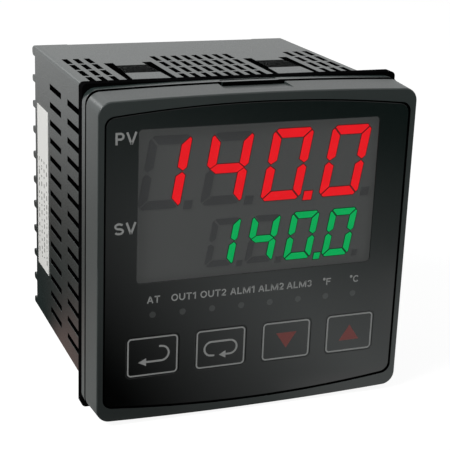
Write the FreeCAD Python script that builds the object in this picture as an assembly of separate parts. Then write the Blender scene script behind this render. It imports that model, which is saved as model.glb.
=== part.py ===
import FreeCAD, Part
import math
import os

# Temperature limit controller for a square panel cut-out, in millimetres.
# X runs to the right and Z up as seen from the front, and Y runs into the panel.
# The origin is the middle of the gasket's rear face, which lies on the panel.

# Flange, gasket and bezel outline
flange_width = 96.0
flange_height = 96.6
flange_thickness = 3.2
outline_bow = 1.0
corner_radius = 4.0
gasket_thickness = 3.7
gasket_overhang = 0.15
gasket_clearance = 0.3
gasket_corner_radius = 1.4

# Bezel
bezel_depth = 10.55
bezel_draft_x = 0.4
bezel_draft_z = 0.8
bezel_step = 0.3
bezel_wall = 2.5
bezel_edge_round = 0.4
plate_thickness = 3.6
parting_gap = 1.2
collar_wall = 1.8
collar_length = 9.8
slide_clearance = 0.3

# Pry ramp in the bezel and snap tongue in the flange
ramp_width = 20.2
ramp_length = 7.2
ramp_depth = 0.8
tongue_width = 17.2
tongue_reach = 0.6
tongue_thickness = 1.25
tongue_slit = 1.15
tongue_slit_depth = 1.6

# Case
flange_lip_x = 3.35
flange_lip_z = 2.4
case_depth = 70.2
case_draft_x = 0.45
case_draft_z = 0.25
case_wall = 2.0
case_edge_radius = 1.5

# Vents and bracket slots
side_vent_rows = 14
side_vent_pitch = 5.75
side_vent_height = 1.9
side_vent_length = 14.75
side_vent_bridge = 7.9
side_vent_front = 11.7
side_vent_drop = 0.8
top_vent_rows = 4
top_vent_row_pitch = 9.3
top_vent_length = 7.7
top_vent_width = 1.85
top_vent_front = 9.85
centre_vent_pitch = 3.5
corner_vent_columns = 3
corner_vent_pitch = 3.5
corner_vent_inset = 1.6
bracket_inset = 19.3
bracket_slot_spread = 15.2
bracket_slot_front = 10.9
bracket_slot_length = 26.0
bracket_slot_narrow = 1.7
bracket_slot_wide = 3.0
ratchet_width = 12.0
ratchet_front = 21.2
ratchet_pitch = 1.05
ratchet_teeth = 11
ratchet_depth = 0.9

# Side label
label_length = 15.0
label_height = 55.0
label_rear_margin = 3.4
label_thickness = 0.12

# Front film and lens
overlay_setback = 0.35
overlay_gap = 0.5
overlay_border_x = 2.25
overlay_border_z = 2.9
overlay_bow = 2.75
overlay_radius = 3.0
film_thickness = 0.3
window_margin_x = 9.18
window_margin_z = 6.0
window_height = 44.1
window_radius = 1.2
lens_thickness = 1.0
lens_rim = 2.0
lens_ledge = 0.6
lens_clearance = 0.1

# Digits
digit_slant = 9.5
digit_face_gap = 0.2
segment_height = 0.2
segment_corner = 0.42
segment_gap = 0.45
housing_depth = 8.0
housing_clearance = 0.3
reading = "140.0"
point_gap = 1.2
point_drop = 0.6
upper_digit_height = 20.8
upper_digit_width = 12.2
upper_digit_pitch = 18.3
upper_digit_shift = 0.65
upper_digit_stroke = 2.55
upper_digit_drop = 2.4
lower_digit_height = 14.3
lower_digit_width = 8.5
lower_digit_stroke = 1.9
lower_digit_pitch = 12.25
lower_digit_rise = 2.4
lower_digit_margin = 5.5

# Lamps
lamp_count = 8
lamp_margin = 14.0
lamp_drop = 9.65
lamp_size = 1.9
lamp_slot_clearance = 0.2
light_bar_height = 2.6
light_bar_thickness = 1.0
led_length = 2.0
led_width = 1.2
led_height = 0.8

# Keys
key_names = ["enter", "mode", "down", "up"]
key_margin = 6.45
key_gap = 5.15
key_height = 12.3
key_radius = 1.3
key_drop = 12.65
key_travel = 0.4
key_edge_clearance = 0.15
key_well_margin = 0.4
key_well_clearance = 0.3
stem_size = 3.5
stem_hole_clearance = 0.45
stem_bore_clearance = 0.15
switch_size = 6.2
switch_height = 3.7
switch_bore_depth = 2.0
stem_end_clearance = 0.35

# Boards
board_thickness = 1.6
board_clearance = 0.3
board_inset = 17.2
board_edge_inset = 3.15
board_tongue_inset = 8.15
board_tongue_length = 7.0
rail_thickness = 1.5
rail_height = 4.05
rail_clearance = 0.35
rail_front = 4.0
header_length = 60.0
header_width = 5.0
header_depth = 8.0
brace_depth = 2.0
brace_bar = 4.0
brace_inset = 5.7
post_size = 4.0
post_lamp_rise = 4.2
hook_width = 8.0
hook_reach = 1.0
hook_length = 2.0
hook_clearance = 0.1
hook_spread = 28.0

# Parts on the boards
core_length = 25.0
core_height = 30.0
core_stack = 12.5
core_window_length = 15.0
core_window_width = 5.0
coil_build = 4.45
coil_clearance = 0.15
coil_round = 1.0
core_from_front = 9.0
core_rise = 18.0
capacitor_radius = 5.0
capacitor_length = 16.0
capacitor_count = 3
capacitor_pitch = 12.5
capacitor_from_front = 40.0
capacitor_rise = 6.0
relay_height = 15.5
relay_length = 10.0
relay_width = 20.0
relay_count = 3
relay_pitch = 12.0
relay_from_front = 9.0
relay_drop = 18.0
chip_size = 12.0
chip_height = 1.6
chip_from_front = 30.0
chip_rise = 12.0

# Rear terminals
base_thickness = 4.5
base_clearance = 0.1
terminal_count = 10
rib_thickness = 2.2
rib_height = 3.6
rib_crest = 0.2
rib_end_inset = 0.35
rib_end_margin = 0.3
terminal_inset = 9.2
terminal_recess = 0.8
plate_length = 8.6
plate_side_gap = 0.2
washer_size = 5.8
washer_thickness = 0.8
terminal_head_radius = 2.7
terminal_head_height = 1.7
terminal_slot_width = 0.9
terminal_slot_depth = 0.9
socket_depth = 9.0
socket_width = 8.0
socket_end_wall = 3.0
socket_floor = 2.2

# Places along Y
flange_rear = -gasket_thickness
flange_front = flange_rear - flange_thickness
bezel_rear = flange_front - parting_gap
front_face = bezel_rear - bezel_depth
film_front = front_face + overlay_setback
film_rear = film_front + film_thickness
lens_rear = film_rear + lens_thickness
segment_front = lens_rear + digit_face_gap
housing_front = segment_front + segment_height
plate_rear = front_face + plate_thickness
key_well_rear = film_rear + key_travel + key_well_clearance
display_board_front = housing_front + housing_depth
display_board_rear = display_board_front + board_thickness
board_front = display_board_rear + board_clearance
base_front = case_depth - base_thickness
socket_front = base_front - socket_depth
board_rear = base_front - socket_floor - board_clearance
tongue_front = board_rear - board_tongue_length

# Half sizes across the front
flange_x = flange_width / 2
flange_z = flange_height / 2
front_x = flange_x - bezel_draft_x
front_z = flange_z - bezel_draft_z
recess_x = front_x - overlay_border_x + overlay_gap
recess_z = front_z - overlay_border_z + overlay_gap
overlay_x = recess_x - overlay_gap
overlay_z = recess_z - overlay_gap
window_x = overlay_x - window_margin_x
window_top = overlay_z - window_margin_z
window_bottom = window_top - window_height
window_z = (window_top + window_bottom) / 2
opening_margin = lens_rim - lens_ledge
lamp_z = window_bottom - lamp_drop
key_z = lamp_z - key_drop
key_width = (2 * overlay_x - 2 * key_margin - 3 * key_gap) / 4
key_pitch = key_width + key_gap
lamp_pitch = 2 * (overlay_x - lamp_margin) / (lamp_count - 1)

# Half sizes of the case and of what slides in it
case_x = flange_x - flange_lip_x
case_z = flange_z - flange_lip_z
case_rear_x = case_x - case_draft_x
case_rear_z = case_z - case_draft_z
inner_x = case_rear_x - case_wall
inner_z = case_rear_z - case_wall
collar_x = inner_x - slide_clearance
collar_z = inner_z - slide_clearance
collar_inner_x = collar_x - collar_wall
collar_inner_z = collar_z - collar_wall
board_x = inner_x - board_inset
board_face = board_x - board_thickness / 2
board_z = inner_z - board_edge_inset
tongue_z = inner_z - board_tongue_inset
bracket_x = inner_x - bracket_inset


def vector(x, y, z):
    return FreeCAD.Vector(x, y, z)


def box(x_low, x_high, y_low, y_high, z_low, z_high):
    size = (x_high - x_low, y_high - y_low, z_high - z_low)
    return Part.makeBox(*size, vector(x_low, y_low, z_low))


def pin(x, z, y_low, y_high, radius):
    return Part.makeCylinder(radius, y_high - y_low, vector(x, y_low, z), vector(0, 1, 0))


def long_edges(shape):
    """The straight edges that run along Y or lean only slightly away from it."""
    found = []
    for edge in shape.Edges:
        run = edge.Vertexes[-1].Point - edge.Vertexes[0].Point
        if run.Length > 0 and abs(run.y) > 0.9 * run.Length:
            found.append(edge)
    return found


def block(x, z, width, height, y_low, y_high):
    return box(x - width / 2, x + width / 2, y_low, y_high, z - height / 2, z + height / 2)


def rounded_block(x, z, width, height, y_low, y_high, radius):
    plain = block(x, z, width, height, y_low, y_high)
    return plain.makeFillet(radius, long_edges(plain))


def bowed_wire(y, half_x, half_z, bow):
    """A rectangle whose top and bottom are arcs, higher in the middle than at the corners."""
    low_left = vector(-half_x, y, bow - half_z)
    low_right = vector(half_x, y, bow - half_z)
    top_right = vector(half_x, y, half_z - bow)
    top_left = vector(-half_x, y, half_z - bow)
    bottom = Part.Arc(low_left, vector(0, y, -half_z), low_right).toShape()
    right = Part.LineSegment(low_right, top_right).toShape()
    top = Part.Arc(top_right, vector(0, y, half_z), top_left).toShape()
    left = Part.LineSegment(top_left, low_left).toShape()
    return Part.Wire([bottom, right, top, left])


def bowed_block(y_low, y_high, half_x, half_z, bow, radius):
    face = Part.Face(bowed_wire(y_low, half_x, half_z, bow))
    plain = face.extrude(vector(0, y_high - y_low, 0))
    return plain.makeFillet(radius, long_edges(plain))


def polygon_along_y(points, y_low, y_high):
    """A prism along Y from (x, z) points."""
    corners = [vector(x, y_low, z) for x, z in points]
    face = Part.Face(Part.makePolygon(corners + corners[:1]))
    return face.extrude(vector(0, y_high - y_low, 0))


def polygon_along_z(points, z_low, z_high):
    """A prism along Z from (x, y) points."""
    corners = [vector(x, y, z_low) for x, y in points]
    face = Part.Face(Part.makePolygon(corners + corners[:1]))
    return face.extrude(vector(0, 0, z_high - z_low))


def polygon_along_x(points, x_low, x_high):
    """A prism along X from (y, z) points."""
    corners = [vector(x_low, y, z) for y, z in points]
    face = Part.Face(Part.makePolygon(corners + corners[:1]))
    return face.extrude(vector(x_high - x_low, 0, 0))


def mirrored(shape, axis):
    return shape.mirror(vector(0, 0, 0), axis)


def both_sides(shapes):
    return shapes + [mirrored(shape, vector(1, 0, 0)) for shape in shapes]


def top_and_bottom(shapes):
    return shapes + [mirrored(shape, vector(0, 0, 1)) for shape in shapes]


def save(name, shape):
    solids = shape if isinstance(shape, list) else [shape]
    whole = solids[0] if len(solids) == 1 else Part.makeCompound(solids)
    whole.exportStep("parts/" + name + ".step")


def wall_x(y):
    """How far the case's side stands from the middle at y."""
    return case_x - case_draft_x * (y - flange_rear) / (case_depth - flange_rear)


def case_tube():
    front, rear = flange_rear, case_depth
    plan = [(-case_x, front), (case_x, front), (case_rear_x, rear), (-case_rear_x, rear)]
    side = [(front, -case_z), (front, case_z), (rear, case_rear_z), (rear, -case_rear_z)]
    tube = polygon_along_z(plan, -case_z, case_z).common(polygon_along_x(side, -case_x, case_x))
    return tube.makeFillet(case_edge_radius, long_edges(tube))


def guide_rails():
    """Two ribs above and below each board, which its edges slide between."""
    rails = []
    for side in (-1, 1):
        near = board_thickness / 2 + rail_clearance
        centre = board_x + side * (near + rail_thickness / 2)
        rib = (centre - rail_thickness / 2, centre + rail_thickness / 2)
        rails.append(box(*rib, rail_front, socket_front - rail_clearance, inner_z - rail_height, inner_z))
    return top_and_bottom(both_sides(rails))


def side_vents():
    cuts = []
    for row in range(side_vent_rows):
        z = (row - (side_vent_rows - 1) / 2) * side_vent_pitch - side_vent_drop
        low, high = z - side_vent_height / 2, z + side_vent_height / 2
        for column in range(2):
            front = side_vent_front + column * (side_vent_length + side_vent_bridge)
            cuts.append(box(-case_x, case_x, front, front + side_vent_length, low, high))
    return cuts


def top_vents():
    inner_edge = bracket_x - bracket_slot_spread / 2
    centre_pairs = int((inner_edge - top_vent_width) / centre_vent_pitch + 0.5)
    columns = [(pair + 0.5) * centre_vent_pitch for pair in range(centre_pairs)]
    for column in range(corner_vent_columns):
        columns.append(inner_x - corner_vent_inset - column * corner_vent_pitch)
    cuts = []
    for x in columns:
        for row in range(top_vent_rows):
            front = top_vent_front + row * top_vent_row_pitch
            edges = (x - top_vent_width / 2, x + top_vent_width / 2)
            cuts.append(box(*edges, front, front + top_vent_length, -case_z, case_z))
    return both_sides(cuts)


def bracket_slots():
    """A pair of slots that widen towards the rear, and the ratchet teeth between them."""
    cuts = []
    front = bracket_slot_front
    rear = front + bracket_slot_length
    for side in (-1, 1):
        outer = bracket_x + side * bracket_slot_spread / 2
        narrow = outer - side * bracket_slot_narrow
        wide = outer - side * bracket_slot_wide
        points = [(outer, front), (narrow, front), (wide, rear), (outer, rear)]
        cuts.append(polygon_along_z(points, 0, case_z))
    for tooth in range(ratchet_teeth):
        tip = ratchet_front + tooth * ratchet_pitch
        root = tip + ratchet_pitch
        notch = [(tip, case_z), (root, case_z), (root, case_rear_z - ratchet_depth)]
        cuts.append(polygon_along_x(notch, bracket_x - ratchet_width / 2, bracket_x + ratchet_width / 2))
    return top_and_bottom(both_sides(cuts))


def case():
    flange = bowed_block(flange_front, flange_rear, flange_x, flange_z, outline_bow, corner_radius)
    body = flange.fuse(case_tube())
    body = body.cut(box(-inner_x, inner_x, flange_front, case_depth, -inner_z, inner_z))
    body = body.fuse(guide_rails())
    lip_front = flange_front - tongue_reach
    lip = bowed_block(lip_front, flange_front, flange_x, flange_z, outline_bow, corner_radius)
    lip = lip.common(block(0, flange_z, tongue_width, 2 * tongue_slit_depth, lip_front, flange_front))
    body = body.fuse(top_and_bottom([lip]))
    slit_front = flange_front + tongue_thickness
    slit_rear = slit_front + tongue_slit
    slit = block(0, flange_z, tongue_width, 2 * tongue_slit_depth, slit_front, slit_rear)
    cuts = side_vents() + top_vents() + bracket_slots() + top_and_bottom([slit])
    return body.cut(Part.makeCompound(cuts)).removeSplitter()


def panel_gasket():
    height = flange_height + 2 * gasket_overhang
    outer = rounded_block(0, 0, flange_width, height, flange_rear, 0, gasket_corner_radius)
    hole_width = 2 * (case_x + gasket_clearance)
    hole_height = 2 * (case_z + gasket_clearance)
    return outer.cut(rounded_block(0, 0, hole_width, hole_height, flange_rear, 0, case_edge_radius))


def side_label():
    rear = case_depth - label_rear_margin
    front = rear - label_length
    inside = [(-wall_x(front), front), (-wall_x(rear), rear)]
    outside = [(x - label_thickness, y) for x, y in reversed(inside)]
    return polygon_along_z(inside + outside, -label_height / 2, label_height / 2)


def bezel_shell():
    front = bowed_wire(front_face, front_x, front_z, outline_bow)
    rear = bowed_wire(bezel_rear, flange_x, flange_z - bezel_step, outline_bow)
    shell = Part.makeLoft([front, rear], True, True)
    shell = shell.makeFillet(corner_radius, long_edges(shell))
    rim = [edge for edge in shell.Edges if abs(edge.CenterOfMass.y - front_face) < bezel_edge_round / 2]
    return shell.makeFillet(bezel_edge_round, rim)


def pry_ramp():
    front = bezel_rear - ramp_length
    rim = flange_z - bezel_step
    start = rim - (bezel_draft_z - bezel_step) * ramp_length / bezel_depth
    foot = rim - ramp_depth
    top = flange_z + ramp_depth
    points = [(front, start), (bezel_rear, foot), (bezel_rear, top), (front, top)]
    return polygon_along_x(points, -ramp_width / 2, ramp_width / 2)


def board_posts():
    """Posts behind the front plate that the display board stops against."""
    posts = []
    high = collar_inner_x
    for z in (lamp_z + post_lamp_rise, post_size / 2 - collar_inner_z):
        edges = (z - post_size / 2, z + post_size / 2)
        posts.append(box(high - post_size, high, plate_rear, display_board_front, *edges))
    return both_sides(posts)


def board_hooks():
    """Wedges on the collar's side walls that snap behind the display board."""
    hooks = []
    catch = display_board_rear + hook_clearance
    wall = collar_inner_x
    points = [(wall, catch), (wall - hook_reach, catch), (wall, catch + hook_length)]
    for z in (-hook_spread, hook_spread):
        hooks.append(polygon_along_z(points, z - hook_width / 2, z + hook_width / 2))
    return both_sides(hooks)


def key_places():
    return [((index - 1.5) * key_pitch, key_z) for index in range(len(key_names))]


def lamp_places():
    return [((index - (lamp_count - 1) / 2) * lamp_pitch, lamp_z) for index in range(lamp_count)]


def bezel():
    shell = bezel_shell()
    cavity_x = front_x - bezel_wall
    cavity_z = front_z - bezel_wall
    cavity_radius = corner_radius - bezel_wall
    body = shell.cut(bowed_block(plate_rear, bezel_rear, cavity_x, cavity_z, outline_bow, cavity_radius))
    collar_rear = bezel_rear + collar_length
    collar = block(0, 0, 2 * collar_x, 2 * collar_z, plate_rear, collar_rear)
    hollow = block(0, 0, 2 * collar_inner_x, 2 * collar_inner_z, plate_rear, collar_rear)
    body = body.fuse(collar.cut(hollow))
    body = body.fuse(board_posts() + board_hooks())
    recess = bowed_block(front_face, film_rear, recess_x, recess_z, overlay_bow, overlay_radius)
    seat_x = window_x + lens_rim
    seat = box(-seat_x, seat_x, film_rear, lens_rear, window_bottom - lens_rim, window_top + lens_rim)
    opening_x = window_x + opening_margin
    opening_low = window_bottom - opening_margin
    opening_high = window_top + opening_margin
    opening = box(-opening_x, opening_x, lens_rear, plate_rear, opening_low, opening_high)
    cuts = [recess, seat, opening] + top_and_bottom([pry_ramp()])
    for x, z in key_places():
        well = (key_width + 2 * key_well_margin, key_height + 2 * key_well_margin)
        hole = stem_size + 2 * stem_hole_clearance
        cuts.append(block(x, z, *well, film_rear, key_well_rear))
        cuts.append(block(x, z, hole, hole, film_rear, plate_rear))
    slot_length = lamp_pitch * (lamp_count - 1) + lamp_size + 2 * lamp_slot_clearance
    cuts.append(block(0, lamp_z, slot_length, lamp_size + 2 * lamp_slot_clearance, film_rear, plate_rear))
    for cut in cuts:
        body = body.cut(cut)
    return body.removeSplitter()


def front_overlay():
    film = bowed_block(film_front, film_rear, overlay_x, overlay_z, overlay_bow, overlay_radius)
    window = (2 * window_x, window_height)
    film = film.cut(rounded_block(0, window_z, *window, film_front, film_rear, window_radius))
    for x, z in key_places():
        zone = (key_width + 2 * key_edge_clearance, key_height + 2 * key_edge_clearance)
        radius = key_radius + key_edge_clearance
        film = film.cut(rounded_block(x, z, *zone, film_front, film_rear, radius))
    return film


def display_lens():
    """A plate held behind the film, with a raised middle that fills the film's window."""
    margin = lens_rim - lens_clearance
    plate = block(0, window_z, 2 * (window_x + margin), window_height + 2 * margin, film_rear, lens_rear)
    width = 2 * (window_x - lens_clearance)
    height = window_height - 2 * lens_clearance
    radius = window_radius - lens_clearance
    return plate.fuse(rounded_block(0, window_z, width, height, film_front, film_rear, radius))


def display_housing():
    margin = opening_margin - housing_clearance
    half_x = window_x + margin
    low = window_bottom - margin
    high = window_top + margin
    return box(-half_x, half_x, housing_front, display_board_front, low, high)


def digit_segments(width, height, stroke):
    """Outlines of the seven bars of one upright digit about its middle, by their usual letters."""
    x, z = width / 2, height / 2
    cut = segment_corner * stroke
    gap = segment_gap / 2
    half = stroke / 2
    top = [
        (gap - x, z - cut + gap),
        (cut - x, z),
        (x - cut - gap, z),
        (x - stroke - gap, z - stroke),
        (stroke - x + gap, z - stroke),
    ]
    upper_right = [
        (x - cut + gap, z),
        (x, z - cut),
        (x, half + gap),
        (x - half, gap),
        (x - stroke, half + gap),
        (x - stroke, z - stroke - gap),
    ]
    upper_left = [
        (-x, z - cut - gap),
        (stroke - x, z - stroke - gap),
        (stroke - x, half + gap),
        (half - x, gap),
        (-x, half + gap),
    ]
    middle = [
        (half - x + gap, 0),
        (stroke - x + gap, half),
        (x - stroke - gap, half),
        (x - half - gap, 0),
        (x - stroke - gap, -half),
        (stroke - x + gap, -half),
    ]
    return {
        "a": top,
        "b": upper_right,
        "c": [(-px, -pz) for px, pz in upper_left],
        "d": [(-px, -pz) for px, pz in top],
        "e": [(-px, -pz) for px, pz in upper_right],
        "f": upper_left,
        "g": middle,
    }


def digit_row(centres, z, width, height, stroke):
    """The lit and the dark bars of one row of digits."""
    bars_of = {"0": "abcdef", "1": "bc", "4": "bcfg"}
    digits = reading.replace(".", "")
    point_after = reading.index(".") - 1
    lean = math.tan(math.radians(digit_slant))
    lit, dark = [], []

    def add(points, is_lit, x):
        placed = [(x + px + pz * lean, z + pz) for px, pz in points]
        (lit if is_lit else dark).append(polygon_along_y(placed, segment_front, housing_front))

    for index, x in enumerate(centres):
        lit_bars = bars_of[digits[index]]
        for letter, points in digit_segments(width, height, stroke).items():
            if letter in lit_bars or letter != "g":
                add(points, letter in lit_bars, x)
        near = width / 2 + point_gap
        far = near + stroke
        foot = -height / 2 - point_drop
        point = [(near, foot), (far, foot), (far, foot + stroke), (near, foot + stroke)]
        add(point, index == point_after, x)
    return lit, dark


def upper_digits():
    centres = [(index - 1.5) * upper_digit_pitch - upper_digit_shift for index in range(4)]
    z = window_top - upper_digit_drop - upper_digit_height / 2
    return digit_row(centres, z, upper_digit_width, upper_digit_height, upper_digit_stroke)


def lower_digits():
    last = window_x - lower_digit_margin - lower_digit_width / 2
    centres = [last - (3 - index) * lower_digit_pitch for index in range(4)]
    z = window_bottom + lower_digit_rise + lower_digit_height / 2
    return digit_row(centres, z, lower_digit_width, lower_digit_height, lower_digit_stroke)


def indicator_light_guide():
    led_top = display_board_front - led_height - digit_face_gap
    bar_front = led_top - light_bar_thickness
    length = lamp_pitch * (lamp_count - 1) + light_bar_height
    guide = block(0, lamp_z, length, light_bar_height, bar_front, led_top)
    pegs = [block(x, z, lamp_size, lamp_size, film_rear, bar_front) for x, z in lamp_places()]
    return guide.fuse(pegs).removeSplitter()


def indicator_leds():
    depth = (display_board_front - led_height, display_board_front)
    return [block(x, z, led_length, led_width, *depth) for x, z in lamp_places()]


def key_pad(x, z):
    return rounded_block(x, z, key_width, key_height, film_front, film_rear, key_radius)


def key_stem(x, z):
    switch_front = display_board_front - switch_height
    stem_rear = switch_front + switch_bore_depth - key_travel - stem_end_clearance
    return block(x, z, stem_size, stem_size, film_rear, stem_rear)


def switch_housings():
    housings = []
    switch_front = display_board_front - switch_height
    for x, z in key_places():
        body = block(x, z, switch_size, switch_size, switch_front, display_board_front)
        bore_size = stem_size + 2 * stem_bore_clearance
        bore = block(x, z, bore_size, bore_size, switch_front, switch_front + switch_bore_depth)
        housings.append(body.cut(bore))
    return housings


def display_board():
    half_x = collar_inner_x - board_clearance
    half_z = collar_inner_z - board_clearance
    return box(-half_x, half_x, display_board_front, display_board_rear, -half_z, half_z)


def upright_board(x):
    """A board whose rear end narrows to a tongue that plugs into its socket."""
    points = [
        (board_front, -board_z),
        (tongue_front, -board_z),
        (tongue_front, -tongue_z),
        (board_rear, -tongue_z),
        (board_rear, tongue_z),
        (tongue_front, tongue_z),
        (tongue_front, board_z),
        (board_front, board_z),
    ]
    return polygon_along_x(points, x - board_thickness / 2, x + board_thickness / 2)


def board_headers():
    depth = (display_board_rear, display_board_rear + header_depth)
    header = box(board_face - header_width, board_face, *depth, -header_length / 2, header_length / 2)
    return both_sides([header])


def board_brace():
    rear = tongue_front - brace_depth
    front = rear - brace_depth
    half_z = inner_z - brace_inset
    frame = box(-board_face, board_face, front, rear, -half_z, half_z)
    inside_x = board_face - brace_bar
    inside_z = half_z - brace_bar
    return frame.cut(box(-inside_x, inside_x, front, rear, -inside_z, inside_z))


def transformer():
    """A core of stacked laminations with two windows, and the coil round its middle leg."""
    middle_x = coil_build + core_stack / 2 - board_face
    front = board_front + core_from_front
    middle_y = front + core_length / 2
    z = core_rise
    stack = (middle_x - core_stack / 2, middle_x + core_stack / 2)
    core = box(*stack, front, front + core_length, z - core_height / 2, z + core_height / 2)
    window = (middle_y - core_window_length / 2, middle_y + core_window_length / 2)
    leg = core_height / 2 - 2 * core_window_width
    for low in (z + leg, z - leg - core_window_width):
        core = core.cut(box(*stack, *window, low, low + core_window_width))
    coil_x = (stack[0] - coil_build, stack[1] + coil_build)
    coil_y = (window[0] + coil_clearance, window[1] - coil_clearance)
    reach = leg + core_window_width - coil_clearance
    coil = box(*coil_x, *coil_y, z - reach, z + reach)
    coil = coil.makeFillet(coil_round, long_edges(coil))
    inside = leg + coil_clearance
    hole = (stack[0] - coil_clearance, stack[1] + coil_clearance)
    return core, coil.cut(box(*hole, *coil_y, z - inside, z + inside))


def filter_capacitors():
    """Cans that stand on the power board."""
    cans = []
    y = board_front + capacitor_from_front
    for index in range(capacitor_count):
        foot = vector(-board_face, y, capacitor_rise + index * capacitor_pitch)
        cans.append(Part.makeCylinder(capacitor_radius, capacitor_length, foot, vector(1, 0, 0)))
    return cans


def output_relays():
    relays = []
    for index in range(relay_count):
        front = board_front + relay_from_front + index * relay_pitch
        height = (board_face - relay_height, board_face)
        low, high = -relay_drop - relay_width / 2, -relay_drop + relay_width / 2
        relays.append(box(*height, front, front + relay_length, low, high))
    return relays


def controller_chip():
    face = board_x + board_thickness / 2
    front = board_front + chip_from_front
    return box(face, face + chip_height, front, front + chip_size, chip_rise, chip_rise + chip_size)


rib_span = 2 * (inner_z - rib_end_inset)
terminal_pitch = rib_span / terminal_count
terminal_floor = case_depth - terminal_recess
terminal_x = inner_x - base_clearance - terminal_inset / 2


def terminal_places():
    rows = [(index - (terminal_count - 1) / 2) * terminal_pitch for index in range(terminal_count)]
    return [(side * terminal_x, z) for side in (-1, 1) for z in rows]


def barrier_rib(low, high):
    """A rounded wall beside a terminal, which reaches over the case's rear edge."""
    inner = inner_x - base_clearance - terminal_inset
    tip = case_depth + rib_height
    rib = box(inner, case_rear_x, case_depth, tip, low, high)
    top_edges = [edge for edge in rib.Edges if edge.BoundBox.YMin > tip - rib_crest]
    crest = [edge for edge in top_edges if edge.BoundBox.ZLength < rib_crest]
    rib = rib.makeFillet((high - low - rib_crest) / 2, crest)
    half_z = inner_z - base_clearance
    foot = (max(low, -half_z), min(high, half_z))
    return rib.fuse(box(inner, inner_x - base_clearance, terminal_floor, case_depth, *foot))


def terminal_base():
    half_x = inner_x - base_clearance
    half_z = inner_z - base_clearance
    base = box(-half_x, half_x, base_front, case_depth, -half_z, half_z)
    inner = half_x - terminal_inset
    for low, high in ((-half_x, -inner), (inner, half_x)):
        base = base.cut(box(low, high, terminal_floor, case_depth, -half_z, half_z))
    ribs = []
    end = case_rear_z - rib_end_margin
    for index in range(terminal_count + 1):
        z = (index - terminal_count / 2) * terminal_pitch
        low = -end if index == 0 else z - rib_thickness / 2
        high = end if index == terminal_count else z + rib_thickness / 2
        ribs.append(barrier_rib(low, high))
    tip = case_depth + rib_height
    outline = rounded_block(0, 0, 2 * case_rear_x, 2 * case_rear_z, base_front, tip, case_edge_radius)
    return base.fuse(both_sides(ribs)).common(outline).removeSplitter()


def terminal_plates():
    plates = []
    width = terminal_pitch - rib_thickness - 2 * plate_side_gap
    for x, z in terminal_places():
        plates.append(block(x, z, plate_length, width, terminal_floor, case_depth))
    return plates


def terminal_washers():
    top = case_depth + washer_thickness
    return [block(x, z, washer_size, washer_size, case_depth, top) for x, z in terminal_places()]


def terminal_screws():
    screws = []
    seat = case_depth + washer_thickness
    top = seat + terminal_head_height
    for x, z in terminal_places():
        head = pin(x, z, seat, top, terminal_head_radius)
        slot_length = 2 * terminal_head_radius
        slot = block(x, z, slot_length, terminal_slot_width, top - terminal_slot_depth, top)
        screws.append(head.cut(slot))
    return screws


def edge_socket(x):
    height = 2 * (tongue_z + socket_end_wall)
    socket = block(x, 0, socket_width, height, socket_front, base_front)
    slot_width = board_thickness + 2 * rail_clearance
    slot_height = 2 * (tongue_z + rail_clearance)
    return socket.cut(block(x, 0, slot_width, slot_height, socket_front, base_front - socket_floor))


def main():
    os.makedirs("parts", exist_ok=True)
    save("case", case())
    save("panel_gasket", panel_gasket())
    save("side_label", side_label())
    save("terminal_base", terminal_base())
    save("terminal_plates", terminal_plates())
    save("terminal_washers", terminal_washers())
    save("terminal_screws", terminal_screws())
    save("left_socket", edge_socket(-board_x))
    save("right_socket", edge_socket(board_x))
    save("bezel", bezel())
    save("front_overlay", front_overlay())
    save("display_lens", display_lens())
    save("display_housing", display_housing())
    for row, digits in (("upper", upper_digits()), ("lower", lower_digits())):
        save(row + "_digits_lit", digits[0])
        save(row + "_digits_dark", digits[1])
    save("indicator_light_guide", indicator_light_guide())
    save("indicator_leds", indicator_leds())
    save("switch_housings", switch_housings())
    save("display_board", display_board())
    save("power_board", upright_board(-board_x))
    save("control_board", upright_board(board_x))
    save("board_headers", board_headers())
    save("board_brace", board_brace())
    core, coil = transformer()
    save("transformer_core", core)
    save("transformer_coil", coil)
    save("filter_capacitors", filter_capacitors())
    save("output_relays", output_relays())
    save("controller_chip", controller_chip())
    for name, place in zip(key_names, key_places()):
        save(name + "_key_pad", key_pad(*place))
        save(name + "_key_stem", key_stem(*place))


main()
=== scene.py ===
import bmesh
import bpy
import math
import random
from mathutils import Matrix, Vector


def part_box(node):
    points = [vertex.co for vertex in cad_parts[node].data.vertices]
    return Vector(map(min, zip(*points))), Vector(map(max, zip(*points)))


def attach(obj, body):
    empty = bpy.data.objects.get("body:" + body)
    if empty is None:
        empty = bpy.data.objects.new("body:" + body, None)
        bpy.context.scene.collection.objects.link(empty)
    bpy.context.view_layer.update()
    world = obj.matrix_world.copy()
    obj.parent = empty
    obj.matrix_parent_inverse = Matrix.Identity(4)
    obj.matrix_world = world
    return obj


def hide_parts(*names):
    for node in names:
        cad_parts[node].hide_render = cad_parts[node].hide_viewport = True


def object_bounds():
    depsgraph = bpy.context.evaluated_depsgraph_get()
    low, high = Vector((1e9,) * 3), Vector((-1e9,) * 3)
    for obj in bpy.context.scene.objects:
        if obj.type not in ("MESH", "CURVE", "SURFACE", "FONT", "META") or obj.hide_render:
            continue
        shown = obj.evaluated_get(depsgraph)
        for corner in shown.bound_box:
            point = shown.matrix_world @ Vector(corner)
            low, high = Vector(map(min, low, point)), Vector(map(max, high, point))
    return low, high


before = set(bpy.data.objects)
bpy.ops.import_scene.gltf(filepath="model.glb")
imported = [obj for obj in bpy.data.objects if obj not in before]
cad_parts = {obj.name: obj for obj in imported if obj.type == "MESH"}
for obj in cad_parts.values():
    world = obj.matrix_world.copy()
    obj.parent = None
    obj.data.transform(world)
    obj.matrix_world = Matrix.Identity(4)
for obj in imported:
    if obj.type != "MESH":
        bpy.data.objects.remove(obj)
cad_low, cad_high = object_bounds()

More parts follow.
